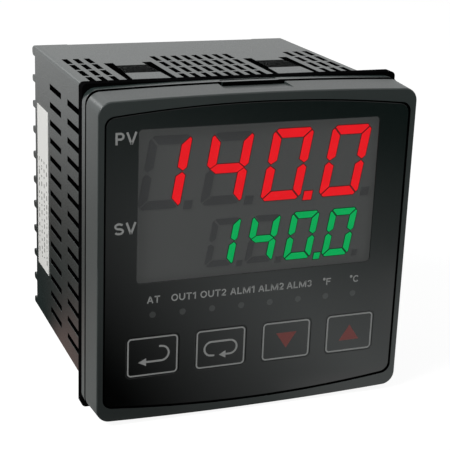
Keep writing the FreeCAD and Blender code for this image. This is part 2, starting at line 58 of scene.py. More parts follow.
# Units and tolerances
MM = 0.001
SMALLEST_EDGE = 0.0005 * MM
MERGE_DISTANCE = 0.001 * MM
FACE_MARGIN = 0.08 * MM
RIGHT_ANGLE = math.radians(90)

# Camera, fitted to the photograph
CAMERA_PLACE = Vector((-135.7, -333.8, 120.6)) * MM
CAMERA_TARGET = Vector((-3.4, -0.5, 3.46)) * MM
CAMERA_ROLL = math.radians(2.2)
CAMERA_LENS = 101.55
CAMERA_SENSOR = 36.0

# Lamps: place, aim and size in metres, and power in watts
LAMPS = {
    "key_light": ((-0.46, -0.12, 0.42), (0.0, 0.02, 0.0), 0.36, 3.4),
    "back_light": ((-0.20, 0.85, 0.50), (0.0, 0.0, 0.0), 0.7, 0.3),
    "edge_light": ((-0.31, 0.70, 0.29), (0.0, 0.0, 0.0), 0.08, 0.2),
}
ROOM_FILL = 0.25
ROOM_IN_GLOSS = 0.8
FLOOR_WHITE = 0.92
FLOOR_PAPER = (0.25, 0.25, 0.25)
WHITE = (1.0, 1.0, 1.0)
BLACK = (0.0, 0.0, 0.0)

# The floor in front, as gloss sees it
FRONT_SLANT = -0.6
FRONT_REACH = 0.47
FRONT_LEVELS = (
    (0.13, 1.0), (0.17, 0.95), (0.29, 0.74), (0.42, 0.4), (0.61, 0.27), (0.79, 0.13), (1.0, 0.09)
)
FRONT_TINT = (-0.05, 0.0, -0.01)
FRONT_FADE = (-0.036, 0.047)
FRONT_FADE_POWER = 1.2
CARD_SLANT = 0.4
CARD_EDGE = (0.042, 0.06)
CARD_DEPTH = (-0.13, -0.07)
FOOT_CARD_X = (0.01, 0.035)
FOOT_CARD_Y = (-0.036, -0.026)
FRONT_TO_SIDE = (-0.03, 0.0)

# The floor beside the object, as gloss sees it
SIDE_REACH = (0.05, 0.15)
SIDE_COLOURS = (
    (0.0, (0.34, 0.22, 0.2)), (0.1, (0.2, 0.12, 0.11)), (0.22, (0.12, 0.07, 0.06)),
    (0.35, (0.09, 0.06, 0.055)), (0.5, (0.28, 0.25, 0.25)), (0.69, (0.5, 0.48, 0.48)),
    (0.78, (0.9, 0.9, 0.9)), (1.0, WHITE),
)
SIDE_SLANT = 2.52
# Painted shadow of the object on the floor, seen only in gloss
REAR_SHADE_ALONG = (-0.072, -0.056)
REAR_SHADE_OUT = (0.075, 0.062)
BESIDE_BEZEL = (-0.116, -0.098)
BESIDE_BEZEL_COLOUR = (0.46, 0.46, 0.45)

# Main colour of each material, in linear light
CASE_COLOUR = (0.02, 0.03, 0.0285)
FILM_COLOUR = (0.0017, 0.0021, 0.002)
PRINT_GREY = (0.47, 0.48, 0.47)
COLOURS = {
    "case_plastic": CASE_COLOUR,
    "base_plastic": CASE_COLOUR,
    "bezel_plastic": (0.036, 0.044, 0.0425),
    "gasket_rubber": (0.003, 0.003, 0.0032),
    "film_sheet": FILM_COLOUR,
    "film_key": FILM_COLOUR,
    "lamp_dot": (0.058, 0.061, 0.06),
    "legend_ink": PRINT_GREY,
    "key_ink": PRINT_GREY,
    "key_red": (0.265, 0.07, 0.063),
    "display_face": (0.083, 0.085, 0.085),
    "dark_segment": (0.06, 0.061, 0.061),
    "red_segment": (0.93, 0.011, 0.018),
    "red_rim": (0.085, 0.007, 0.008),
    "green_segment": (0.002, 0.445, 0.106),
    "green_rim": (0.002, 0.034, 0.014),
    "label_film": (0.86, 0.86, 0.83),
    "label_ink": (0.13, 0.13, 0.12),
    "number_ink": (0.62, 0.62, 0.6),
    "tinned_contact": (0.74, 0.66, 0.48),
    "washer_steel": (0.6, 0.6, 0.61),
    "screw_nickel": (0.66, 0.65, 0.63),
    "contact_gold": (0.83, 0.62, 0.22),
    "leg_tin": (0.7, 0.7, 0.7),
    "solder_tin": (0.62, 0.62, 0.61),
    "cap_tin": (0.66, 0.66, 0.65),
    "black_moulding": (0.02, 0.02, 0.021),
    "led_body": (0.7, 0.66, 0.52),
    "brace_plastic": (0.5, 0.5, 0.48),
    "capacitor_sleeve": (0.014, 0.02, 0.06),
    "relay_case": (0.02, 0.07, 0.26),
    "chip_body": (0.016, 0.016, 0.017),
    "resistor_body": (0.018, 0.018, 0.019),
    "stem_plastic": (0.62, 0.62, 0.6),
}
# Painted shade: the black put on recesses in place of their shade
PAINTED_SHADE_BLACK = (0.002, 0.002, 0.002)
LENS_SHADES = ((0.3, (0.04, 0.042, 0.042)), (0.7, (0.044, 0.046, 0.046)))
SHEET_SHADES = ((0.0, (0.05, 0.046, 0.044)), (0.35, (0.26, 0.25, 0.24)), (1.0, (0.33, 0.32, 0.31)))
TAPE_SHADES = ((0.3, (0.6, 0.4, 0.045)), (0.7, (0.78, 0.55, 0.09)))
GUIDE_SHADES = ((0.3, (0.62, 0.62, 0.61)), (0.7, (0.74, 0.74, 0.73)))
BOARD_COLOURS = {
    "Color1": (0.01, 0.085, 0.032),
    "Color2": (0.012, 0.1, 0.038),
    "Mortar": (0.028, 0.19, 0.075),
}
# Painted light: an even glow on the display face and on the unlit bars
FACE_GLOW = (0.043, 0.045, 0.044)
DARK_BAR_GLOW = (0.026, 0.027, 0.028)
LIT_LEVEL = 1.03
LIT_BODY_SHARE = 0.05

# Finish of the case and its base, and values that materials share
CASE_FINISH = {"roughness": 0.3, "ior": 1.56, "mottle": 0.05, "grain": 0.3 * MM, "depth": 0.012 * MM}
NOISE_SPAN = (0.3, 0.7)
WAVE_BANDS_PER_UNIT = 10.0 / math.pi
SHEET_THICKNESS = 0.5 * MM
NORMAL_MATCH = (0.985, 0.95)
COPPER_SPACING = 9 * MM
COPPER_SHARE = 0.03

# Recesses painted black as shade
CASE_DRAFT_X = 0.45 * MM
CASE_DRAFT_Z = 0.25 * MM
CASE_WALL = 2.0 * MM
CASE_EDGE = 1.5 * MM
FACING_FRONT = -0.7
FILM_GROOVE = 0.5 * MM

# Print on the front film
INK_THICKNESS = 0.015 * MM
FILM_KEYS = ("enter", "mode", "down", "up")
LED_LENGTH = 2.0 * MM
LAMP_DOT_RADIUS = 0.95 * MM
LAMP_LEGENDS = ("AT", "OUT1", "OUT2", "ALM1", "ALM2", "ALM3", "°F", "°C")
LETTER_STROKE = 0.18
LETTER_GAP = 0.16
RING_LETTERS = "O°"
LAMP_LEGEND_RISE = 4.55 * MM
LAMP_LEGEND_SHIFT = 0.2 * MM
LAMP_LEGEND_HEIGHT = 2.1 * MM
ROW_LEGEND_HEIGHT = 3.4 * MM
ROW_LEGEND_GAP = 3.65 * MM
UPPER_LEGEND_DROP = 2.1 * MM
LOWER_LEGEND_RISE = 16.45 * MM
KEY_OUTLINE_INSET = 0.25 * MM
KEY_OUTLINE_WIDTH = 0.44 * MM
KEY_OUTLINE_RADIUS = 1.0 * MM

# Key symbols, from the middle of the key
SYMBOL_STROKE = 0.58 * MM
HOOK_CENTRE = (2.6 * MM, 0.55 * MM)
HOOK_RADIUS = 2.25 * MM
HOOK_ENDS = (1.9 * MM, -1.9 * MM)
HOOK_HEAD = (2.4 * MM, 1.2 * MM)
LOOP_HALF = 2.85 * MM
LOOP_RADIUS = 2.15 * MM
LOOP_ENDS = (-1.9 * MM, 1.6 * MM)
LOOP_HEAD = (2.1 * MM, 1.15 * MM)
TRIANGLE_HALF = 3.3 * MM
TRIANGLE_BASE = 2.4 * MM
TRIANGLE_TIP = 2.5 * MM

# Digits: width, height, stroke and pitch of each row before it leans
DIGIT_ROWS = {
    "upper": (12.2 * MM, 20.8 * MM, 2.55 * MM, 18.3 * MM),
    "lower": (8.5 * MM, 14.3 * MM, 1.9 * MM, 12.25 * MM),
}
ROW_COLOURS = {"upper": "red", "lower": "green"}
DIGIT_LEAN = math.tan(math.radians(9.5))
READING = "1400"
POINT_AFTER = 2
LIT_BARS = {"0": "abcdef", "1": "bc", "4": "bcfg"}
UNSEEN_WHEN_DARK = "g"
BAR_CORNER = 0.52
BAR_TIP = 0.38
BAR_TIP_OUTER = 0.34
BAR_TIP_INNER = 0.42
BAR_GAP = 0.17 * MM
TIP_GAP = 0.3 * MM
POINT_GAP = 1.2 * MM
POINT_DROP = 0.6 * MM
BAR_EDGE = 0.24 * MM
BAR_EDGE_THICKNESS = 0.05 * MM

# Print on the side label
LABEL_COLUMNS = 4
LABEL_MARGIN = 2.2 * MM
LABEL_PRINT_TOP = 10.0 * MM
LABEL_BAR_WIDTH = 0.85 * MM
LABEL_WORD = (0.4 * MM, 1.7 * MM)
LABEL_SPACE = (0.4 * MM, 1.9 * MM)
LABEL_SEED = 5

# Rear terminals
TERMINAL_ROWS = 10
NUMBER_HEIGHT = 2.6 * MM
NUMBER_GAP = 6.6 * MM
SCREW_SLOT = 0.8 * MM
SCREW_SLOT_DEPTH = 0.9 * MM
SCREW_CROSS = 3.2 * MM
SCREW_CROWN = 0.45
SCREW_SEED = 11

# Small parts on the boards
FINGER_COUNT = 18
FINGER_WIDTH = 2.2 * MM
FINGER_LENGTH = 5.6 * MM
FINGER_THICKNESS = 0.04 * MM
LEG_COUNT = 11
LEG_WIDTH = 0.4 * MM
LEG_REACH = 1.3 * MM
LEG_SHOULDER = 0.35
LEG_KNEE = 0.5
LEG_THICKNESS = 0.2 * MM
JOINT_RADIUS = 0.9 * MM
JOINT_HEIGHT = 0.8 * MM
JOINT_SHAPE = ((0.0, 0.0), (1.0, 0.0), (0.55, 0.3), (0.3, 0.75), (0.2, 1.0), (0.0, 1.0))
HEADER_PINS = 22
RESISTOR_SIZE = Vector((0.55, 1.3, 2.2)) * MM
RESISTOR_CAP = 0.45 * MM
RESISTOR_GAP = 3.0 * MM
RESISTOR_ROWS = 2
RESISTOR_COUNT = 7
RESISTOR_EDGE = 0.05 * MM
RESISTOR_CAP_EDGE = 0.08 * MM

# Soldered pins of each part: the board's outer side, columns and rows, and margins along Y and Z
PINS = {
    "filter_capacitors": (-1, 2, 3, 2.5 * MM, 5.0 * MM),
    "transformer_coil": (-1, 2, 5, 1.5 * MM, 2.0 * MM),
    "output_relays": (1, 6, 2, 2.2 * MM, 2.5 * MM),
}


def corners_of(node):
    """The corners of a CAD node's mesh."""
    return [vertex.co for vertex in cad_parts[node].data.vertices]


def extent(points):
    """The lowest and the highest corner of some points."""
    return Vector(map(min, *points)), Vector(map(max, *points))


def evenly(low, high, margin, count):
    """Places from one end of a span to the other, clear of its ends by a margin."""
    step = (high - low - 2 * margin) / (count - 1)
    return [low + margin + index * step for index in range(count)]


def set_inputs(node, inputs):
    """Sets inputs by name or number, from sockets, numbers or colours without their alpha."""
    for name, value in inputs.items():
        target = node.inputs[name]
        if isinstance(value, bpy.types.NodeSocket):
            node.id_data.links.new(value, target)
        elif target.type == "RGBA":
            target.default_value = (*value[:3], 1.0)
        else:
            target.default_value = value


def add_node(tree, kind, inputs=None, **settings):
    """A new node in a tree, with its settings and then its inputs."""
    node = tree.nodes.new(kind)
    for name, value in settings.items():
        setattr(node, name, value)
    set_inputs(node, inputs or {})
    return node


def shader_of(material):
    return material.node_tree.nodes["Principled BSDF"]


def new_shader(name):
    """A material and its main shader."""
    material = bpy.data.materials.new(name)
    material.use_nodes = True
    return material, shader_of(material)


def place_in(tree, kind="Object"):
    """A texture coordinate in the object's own space."""
    return add_node(tree, "ShaderNodeTexCoord").outputs[kind]


def coordinates(tree, kind="Object"):
    split = add_node(tree, "ShaderNodeSeparateXYZ", {"Vector": place_in(tree, kind)})
    return [split.outputs[axis] for axis in "XYZ"]


def noise(shader, size, detail=4.0, stretch=(1.0, 1.0, 1.0)):
    """Noise with grains about as large as size, in metres."""
    tree = shader.id_data
    mapping = add_node(tree, "ShaderNodeMapping", {"Vector": place_in(tree), "Scale": stretch})
    grains = {"Vector": mapping.outputs["Vector"], "Scale": 1.0 / size, "Detail": detail}
    return add_node(tree, "ShaderNodeTexNoise", grains).outputs["Fac"]


def blend_colours(factor, stops):
    """Colours along a factor, given as (position, colour)."""
    ramp = add_node(factor.id_data, "ShaderNodeValToRGB", {"Fac": factor})
    elements = ramp.color_ramp.elements
    while len(elements) < len(stops):
        elements.new(0.5)
    for element, (position, colour) in zip(elements, stops):
        element.position = position
        element.color = (*colour, 1.0)
    return ramp.outputs["Color"]


def spread(value, start, end, low=0.0, high=1.0, smooth=False):
    """A value between start and end, spread from low to high."""
    span = {"Value": value, "From Min": start, "From Max": end, "To Min": low, "To Max": high}
    curve = "SMOOTHSTEP" if smooth else "LINEAR"
    return add_node(value.id_data, "ShaderNodeMapRange", span, interpolation_type=curve).outputs["Result"]


def maths(operation, first, second=0.0):
    """Two values combined, where the second may be a plain number."""
    pair = {0: first, 1: second}
    return add_node(first.id_data, "ShaderNodeMath", pair, operation=operation).outputs["Value"]


def size_of(value):
    return maths("ABSOLUTE", value)


def mixed(factor, first, second, kind="RGBA"):
    """Two colours, numbers or directions mixed by a factor."""
    sides = {"Factor": factor, "A": first, "B": second}
    return add_node(factor.id_data, "ShaderNodeMix", sides, data_type=kind).outputs["Result"]


def scaled(colour, factor):
    return tuple(channel * factor for channel in colour)


def shades(colour, low, high, start=NOISE_SPAN[0], end=NOISE_SPAN[1]):
    """Two stops of one colour, scaled by low and high."""
    return [(start, scaled(colour, low)), (end, scaled(colour, high))]


def tint(shader, factor, stops, target="Base Color"):
    """Colours a shader along a factor."""
    set_inputs(shader, {target: blend_colours(factor, stops)})


def roughen(shader, factor, low, high):
    """Spreads a shader's roughness along a noise factor."""
    set_inputs(shader, {"Roughness": spread(factor, *NOISE_SPAN, low, high)})


def steady_normal(tree):
    """The smooth normal, or the facet's own where the two are far apart."""
    surface = add_node(tree, "ShaderNodeNewGeometry").outputs
    smooth, true = surface["Normal"], surface["True Normal"]
    match = add_node(tree, "ShaderNodeVectorMath", {0: smooth, 1: true}, operation="DOT_PRODUCT")
    return mixed(spread(match.outputs["Value"], *NORMAL_MATCH), smooth, true, "VECTOR")


def add_bump(shader, height, depth, strength, edge=0.0):
    """Relief on a surface, with its edges softened by a radius where one is given."""
    tree = shader.id_data
    if edge:
        soft = add_node(tree, "ShaderNodeBevel", {"Radius": edge}, samples=6)
        normal = soft.outputs["Normal"]
    else:
        normal = steady_normal(tree)
    relief = {"Height": height, "Distance": depth, "Strength": strength, "Normal": normal}
    bump = add_node(tree, "ShaderNodeBump", relief)
    set_inputs(shader, {"Normal": bump.outputs["Normal"]})


def moulded(name, roughness, ior=1.5, mottle=0.1, grain=0.25 * MM, depth=0.02 * MM, edge=0.0):
    """Moulded plastic with a fine spark-eroded grain and faint cloudy shades."""
    material, shader = new_shader(name)
    clouds = noise(shader, size=14 * MM, detail=3.0)
    tint(shader, clouds, shades(COLOURS[name], 1.0 - mottle, 1.0 + mottle, start=0.35, end=0.65))
    texture = noise(shader, size=grain, detail=2.0)
    roughen(shader, texture, roughness - 0.05, roughness + 0.05)
    set_inputs(shader, {"IOR": ior})
    add_bump(shader, texture, depth, strength=0.6, edge=edge)
    return material


def blacken(material, mask):
    """Paints shade: turns a material dead black, with no sheen left, where a mask is 1."""
    shader = shader_of(material)
    # Painted shade: black, fully rough and metallic with a black tint, so no sheen is left
    dull = {"Base Color": PAINTED_SHADE_BLACK, "Specular Tint": PAINTED_SHADE_BLACK, "Roughness": 1.0, "Metallic": 1.0}
    for name, value in dull.items():
        target = shader.inputs[name]
        before = target.links[0].from_socket if target.is_linked else target.default_value
        kind = "FLOAT" if isinstance(value, float) else "RGBA"
        set_inputs(shader, {name: mixed(mask, before, value, kind)})


def case_plastic():
    """Grained plastic, with painted shade: black on the walls of the slots and on the faces hidden behind
    the bezel.
    """
    material = moulded("case_plastic", **CASE_FINISH, edge=0.12 * MM)
    x, y, z = coordinates(material.node_tree)
    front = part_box("panel_gasket")[0].y
    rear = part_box("case")[1].y
    corners = [corner for corner in corners_of("case") if corner.y > rear - FACE_MARGIN]
    squares = []
    in_wall = []
    for value, half, draft in (
        (size_of(x), max(corner.x for corner in corners), CASE_DRAFT_X),
        (size_of(z), max(corner.z for corner in corners), CASE_DRAFT_Z),
    ):
        skin = spread(y, front, rear, half + draft - CASE_EDGE, half - CASE_EDGE)
        over = maths("MAXIMUM", maths("SUBTRACT", value, skin), 0.0)
        squares.append(maths("POWER", over, 2.0))
        in_wall.append(maths("GREATER_THAN", value, half - CASE_WALL + FACE_MARGIN / 2))
    # Painted shade on the walls of the slots, within the wall's thickness
    reach = maths("SQRT", maths("ADD", *squares))
    inside = maths("LESS_THAN", reach, CASE_EDGE - FACE_MARGIN)
    inside = maths("MULTIPLY", inside, maths("MAXIMUM", *in_wall))
    inside = maths("MULTIPLY", inside, maths("LESS_THAN", y, rear - FACE_MARGIN))
    # Painted shade on every face of the case that looks to the front, such as the flange behind the bezel
    front_facing_shade = maths("LESS_THAN", coordinates(material.node_tree, "Normal")[1], FACING_FRONT)
    blacken(material, maths("MAXIMUM", inside, front_facing_shade))
    return material


def bezel_plastic():
    """Grained plastic, with painted shade: black in the groove round the film."""
    material = moulded("bezel_plastic", roughness=0.36, ior=1.52, mottle=0.05, depth=0.012 * MM)
    x, y, z = coordinates(material.node_tree)
    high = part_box("front_overlay")[1]
    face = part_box("bezel")[0].y
    groove = maths("GREATER_THAN", y, face + FACE_MARGIN)
    groove = maths("MULTIPLY", groove, maths("LESS_THAN", y, high.y + FACE_MARGIN))
    for value, half in ((x, high.x), (z, high.z)):
        within = maths("LESS_THAN", size_of(value), half + FILM_GROOVE + FACE_MARGIN)
        groove = maths("MULTIPLY", groove, within)
    # Painted shade in the groove between the bezel and the film
    blacken(material, groove)
    return material


def rubber():
    """Dead black foam rubber with open pores and almost no sheen."""
    material = moulded("gasket_rubber", roughness=0.9, mottle=0.3, grain=0.6 * MM, depth=0.08 * MM)
    set_inputs(shader_of(material), {"Specular IOR Level": 0.0})
    return material


def gloss_film(name, edge=0.0):
    """Gloss film, very slightly uneven, with a trace of dust."""
    material, shader = new_shader(name)
    clouds = noise(shader, size=22 * MM, detail=2.0)
    tint(shader, clouds, shades(COLOURS[name], 0.85, 1.15))
    dust = noise(shader, size=1.5 * MM, detail=6.0)
    roughen(shader, dust, low=0.16, high=0.2)
    set_inputs(shader, {"IOR": 1.6})
    add_bump(shader, dust, depth=0.001 * MM, strength=0.2, edge=edge)
    return material


def smoked_lens():
    """A dull hard-coated window, which darkens what is behind it a little."""
    material, shader = new_shader("smoked_lens")
    tint(shader, noise(shader, size=30 * MM, detail=2.0), LENS_SHADES)
    roughen(shader, noise(shader, size=0.8 * MM), low=0.42, high=0.48)
    set_inputs(shader, {"IOR": 1.12, "Alpha": 0.12})
    return material


def lit_segment(name):
    """A lit bar or its rim, with faint uneven shades."""
    material, shader = new_shader(name)
    clouds = noise(shader, size=3.0 * MM, detail=1.0)
    stops = shades(COLOURS[name], 0.97, 1.03)
    tint(shader, clouds, stops, "Emission Color")
    tint(shader, clouds, [(position, scaled(tone, LIT_BODY_SHARE)) for position, tone in stops])
    set_inputs(shader, {"Emission Strength": LIT_LEVEL, "Roughness": 0.6, "IOR": 1.2})
    return material


def glow(material, colour):
    """Painted light: a faint even glow on a surface that is no lamp, standing in for light the lit digits
    spill and lifting the shade in the display's recess.
    """
    set_inputs(shader_of(material), {"Emission Color": colour, "Emission Strength": 1.0})


def ink(name, cover=0.1):
    """Screen-printed ink, a little uneven in cover."""
    material, shader = new_shader(name)
    patches = noise(shader, size=0.4 * MM, detail=3.0)
    tint(shader, patches, shades(COLOURS[name], 1.0 - cover, 1.0 + cover / 2, start=0.25, end=0.75))
    roughen(shader, patches, low=0.45, high=0.6)
    return material


def plated(name, roughness):
    """Plated metal with short fine scratches."""
    material, shader = new_shader(name)
    scratches = noise(shader, size=0.35 * MM, detail=5.0, stretch=(1.0, 1.0, 6.0))
    tint(shader, scratches, shades(COLOURS[name], 0.85, 1.08))
    roughen(shader, scratches, roughness - 0.08, roughness + 0.1)
    set_inputs(shader, {"Metallic": 1.0})
    add_bump(shader, scratches, depth=0.01 * MM, strength=0.4)
    return material


def laminations():
    """Stacked sheet steel, dark lines where the sheets meet."""
    material, shader = new_shader("core_sheets")
    tree = shader.id_data
    bands = {"Vector": place_in(tree), "Scale": 1.0 / (WAVE_BANDS_PER_UNIT * SHEET_THICKNESS)}
    sheets = add_node(tree, "ShaderNodeTexWave", bands, bands_direction="X").outputs["Fac"]
    tint(shader, sheets, SHEET_SHADES)
    roughen(shader, noise(shader, size=2 * MM), low=0.4, high=0.6)
    set_inputs(shader, {"Metallic": 0.8})
    add_bump(shader, sheets, depth=0.05 * MM, strength=0.5)
    return material


def winding_tape():
    """Yellow insulating tape wound over the coil, with soft wrinkles."""
    material, shader = new_shader("winding_tape")
    wrinkles = noise(shader, size=2.5 * MM, detail=3.0, stretch=(1.0, 3.0, 1.0))
    tint(shader, wrinkles, TAPE_SHADES)
    roughen(shader, wrinkles, low=0.28, high=0.42)
    add_bump(shader, wrinkles, depth=0.15 * MM, strength=0.5)
    return material


def circuit_board(name, turn):
    """Green solder mask over paler copper runs, on a board turned to face X or Y."""
    material, shader = new_shader(name)
    tree = shader.id_data
    mapping = add_node(tree, "ShaderNodeMapping", {"Vector": place_in(tree), "Rotation": turn})
    pattern = {"Vector": mapping.outputs["Vector"], "Scale": 1.0 / COPPER_SPACING}
    runs = add_node(tree, "ShaderNodeTexBrick", {**pattern, "Mortar Size": COPPER_SHARE, **BOARD_COLOURS})
    set_inputs(shader, {"Base Color": runs.outputs["Color"]})
    roughen(shader, noise(shader, size=3 * MM), low=0.25, high=0.38)
    add_bump(shader, runs.outputs["Fac"], depth=0.03 * MM, strength=0.4)
    return material


def frosted():
    """Frosted clear plastic of the light guide."""
    material, shader = new_shader("frosted_guide")
    clouds = noise(shader, size=2 * MM, detail=3.0)
    tint(shader, clouds, GUIDE_SHADES)
    roughen(shader, clouds, low=0.35, high=0.5)
    return material


def dress(names, material):
    """Gives CAD nodes a material in place of their plain one."""
    for name in names:
        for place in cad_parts[name].material_slots:
            place.material = material


def dress_nodes():
    """A material for every CAD node that no new piece stands for."""
    face = moulded("display_face", roughness=0.7, ior=1.4, mottle=0.02, grain=0.3 * MM, depth=0.01 * MM)
    # Painted light on the display face
    glow(face, FACE_GLOW)
    dress(["case"], case_plastic())
    dress(["terminal_base"], moulded("base_plastic", **CASE_FINISH, edge=0.2 * MM))
    dress(["bezel"], bezel_plastic())
    dress(["panel_gasket"], rubber())
    dress(["side_label"], ink("label_film", cover=0.03))
    dress(["terminal_plates"], plated("tinned_contact", roughness=0.35))
    dress(["terminal_washers"], plated("washer_steel", roughness=0.36))
    black = moulded("black_moulding", roughness=0.5)
    dress(["left_socket", "right_socket", "board_headers", "switch_housings"], black)
    dress(["front_overlay"], gloss_film("film_sheet", edge=0.25 * MM))
    dress([key + "_key_pad" for key in FILM_KEYS], gloss_film("film_key"))
    dress(["display_lens"], smoked_lens())
    dress(["display_housing"], face)
    dress(["indicator_light_guide"], frosted())
    dress(["indicator_leds"], moulded("led_body", roughness=0.4))
    dress(["power_board", "control_board"], circuit_board("upright_board", (RIGHT_ANGLE, 0.0, RIGHT_ANGLE)))
    dress(["display_board"], circuit_board("facing_board", (RIGHT_ANGLE, 0.0, 0.0)))
    dress(["board_brace"], moulded("brace_plastic", roughness=0.55))
    dress(["transformer_core"], laminations())
    dress(["transformer_coil"], winding_tape())
    dress(["filter_capacitors"], moulded("capacitor_sleeve", roughness=0.3, grain=0.6 * MM))
    dress(["output_relays"], moulded("relay_case", roughness=0.42))
    dress(["controller_chip"], moulded("chip_body", roughness=0.55))
    dress([key + "_key_stem" for key in FILM_KEYS], moulded("stem_plastic", roughness=0.5))


def put_in_scene(name, data):
    item = bpy.data.objects.new(name, data)
    bpy.context.scene.collection.objects.link(item)
    return item


def add_piece(name, shape, body, material):
    """Makes an edited shape a piece that rides on a body."""
    mesh = mesh_of(name, shape)
    mesh.materials.append(material)
    piece = put_in_scene(name, mesh)
    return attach(piece, body)


def tidied(shape):
    """Splits a shape's faces into triangles and drops those that have no area."""
    bmesh.ops.triangulate(shape, faces=shape.faces)
    bmesh.ops.dissolve_degenerate(shape, dist=SMALLEST_EDGE, edges=shape.edges)
    bmesh.ops.triangulate(shape, faces=shape.faces)
    return shape


def mesh_of(name, shape):
    """A mesh made from an edited one, with its faces turned outwards."""
    bmesh.ops.recalc_face_normals(shape, faces=shape.faces)
    mesh = bpy.data.meshes.new(name)
    shape.to_mesh(mesh)
    shape.free()
    return mesh


def evaluated_mesh(item):
    """The mesh of an object with its modifiers or its text worked out."""
    bpy.context.view_layer.update()
    return bpy.data.meshes.new_from_object(item.evaluated_get(bpy.context.evaluated_depsgraph_get()))


def thicken(flat, lift):
    """Gives flat faces their thickness."""
    bmesh.ops.recalc_face_normals(flat, faces=flat.faces)
    made = bmesh.ops.extrude_face_region(flat, geom=flat.faces[:])["geom"]
    lifted = [item for item in made if isinstance(item, bmesh.types.BMVert)]
    bmesh.ops.translate(flat, verts=lifted, vec=lift)


def front_print(name, shapes, face_y, body, material, thickness=INK_THICKNESS):
    """Flat printed shapes on a face that looks to -Y, each a list of (x, z) points."""
    flat = bmesh.new()
    for points in shapes:
        flat.faces.new([flat.verts.new((x, face_y, z)) for x, z in points])
    bmesh.ops.remove_doubles(flat, verts=flat.verts, dist=MERGE_DISTANCE)
    thicken(flat, (0.0, -thickness, 0.0))
    return add_piece(name, flat, body, material)


def arc_points(centre, radius, start, end, steps=10):
    """Points on an arc from one angle to another, in degrees."""
    points = []
    for step in range(steps + 1):
        angle = math.radians(start + (end - start) * step / steps)
        points.append((centre[0] + radius * math.cos(angle), centre[1] + radius * math.sin(angle)))
    return points


def ribbon(points, width, closed=False):
    """Quads along a line of points, which share their ends."""
    count = len(points)
    sides = []
    for index, point in enumerate(points):
        before = points[index - 1] if closed or index else point
        after = points[(index + 1) % count] if closed or index + 1 < count else point
        along = (Vector(after) - Vector(before)).normalized()
        across = Vector((-along.y, along.x)) * (width / 2)
        sides.append((Vector(point) + across, Vector(point) - across))
    if closed:
        sides.append(sides[0])
    return [[*first, *reversed(second)] for first, second in zip(sides, sides[1:])]


def rounded_frame(centre, width, height, radius, stroke):
    """The outline of a rectangle with round corners."""
    half_x = width / 2 - radius
    half_z = height / 2 - radius
    points = []
    for x, z, start in ((1, 1, 0), (-1, 1, 90), (-1, -1, 180), (1, -1, 270)):
        corner = (centre[0] + x * half_x, centre[1] + z * half_z)
        points += arc_points(corner, radius, start, start + 90, steps=6)
    return ribbon(points, stroke, True)


def oval(x, z, half_width, half_height, start, end, steps=12):
    """Points on an upright oval from one angle to another, in degrees."""
    circle = arc_points((0.0, 0.0), 1.0, start, end, steps)
    return [(x + half_width * across, z + half_height * up) for across, up in circle]


def letter_lines():
    """Each plain letter's width and the middle lines of its strokes, in cap heights."""
    low = LETTER_STROKE / 2
    high = 1.0 - low
    stem = [(low, 0.0), (low, 1.0)]
    inside = 0.9 * LETTER_STROKE
    bar_of_a = [(0.25, 0.32), (0.63, 0.32)]
    right_stem_of_m = [(1.1 - low, 0.0), (1.1 - low, 1.0)]
    bow_of_p = [(inside, high)] + oval(0.43, 0.68, 0.22, high - 0.68, 90, -90) + [(inside, 1.36 - high)]
    bend_of_u = oval(0.43, 0.4, 0.43 - low, 0.4 - low, 180, 360)
    return {
        "A": (0.88, [[(0.07, 0.0), (0.43, 0.98)], [(0.45, 0.98), (0.81, 0.0)], bar_of_a]),
        "C": (0.84, [oval(0.47, 0.5, 0.39, 0.42, 42, 318, 20)]),
        "F": (0.70, [stem, [(inside, high), (0.70, high)], [(inside, 0.5), (0.62, 0.5)]]),
        "L": (0.66, [stem, [(inside, low), (0.66, low)]]),
        "M": (1.10, [stem, [(0.1, 0.98), (0.54, 0.04)], [(0.56, 0.04), (1.0, 0.98)], right_stem_of_m]),
        "O": (0.94, [oval(0.47, 0.5, 0.39, 0.42, 0, 345, 23)]),
        "P": (0.74, [stem, bow_of_p]),
        "S": (0.82, [oval(0.41, 0.71, 0.31, 0.21, 25, 270) + oval(0.41, 0.29, 0.33, 0.21, 90, -155)[1:]]),
        "T": (0.78, [[(0.0, high), (0.78, high)], [(0.39, 0.0), (0.39, high)]]),
        "U": (0.86, [[(low, 1.0)] + bend_of_u + [(0.86 - low, 1.0)]]),
        "V": (0.86, [[(0.06, 1.0), (0.42, 0.02)], [(0.44, 0.02), (0.80, 1.0)]]),
        "1": (0.44, [[(0.03, 0.7), (0.3, 0.94)], [(0.44 - low, 0.0), (0.44 - low, 1.0)]]),
        "2": (0.66, [oval(0.33, 0.69, 0.25, 0.23, 170, -35) + [(0.08, low)], [(0.02, low), (0.64, low)]]),
        "3": (0.66, [oval(0.32, 0.71, 0.23, 0.2, 165, -90), oval(0.32, 0.3, 0.26, 0.21, 90, -165)]),
        "°": (0.34, [oval(0.17, 0.9, 0.12, 0.12, 0, 330, 11)]),
    }


def legend(name, text, x, z, height, face_y, material):
    """Plain stroke lettering on the front film, centred on a place."""
    letters = letter_lines()
    quads = []
    start = 0.0
    for letter in text:
        width, lines = letters[letter]
        for line in lines:
            quads += ribbon(moved(line, (start, 0.0)), LETTER_STROKE, letter in RING_LETTERS)
        start += width + LETTER_GAP
    middle = (start - LETTER_GAP) / 2
    shapes = []
    for quad in quads:
        shapes.append([(x + (across - middle) * height, z + (up - 0.5) * height) for across, up in quad])
    front_print(name, shapes, face_y, "chassis", material)


def window_edges():
    """The corners of the film's window, from the raised middle of the lens."""
    face_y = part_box("display_lens")[0].y
    return extent([corner for corner in corners_of("display_lens") if corner.y < face_y + INK_THICKNESS])


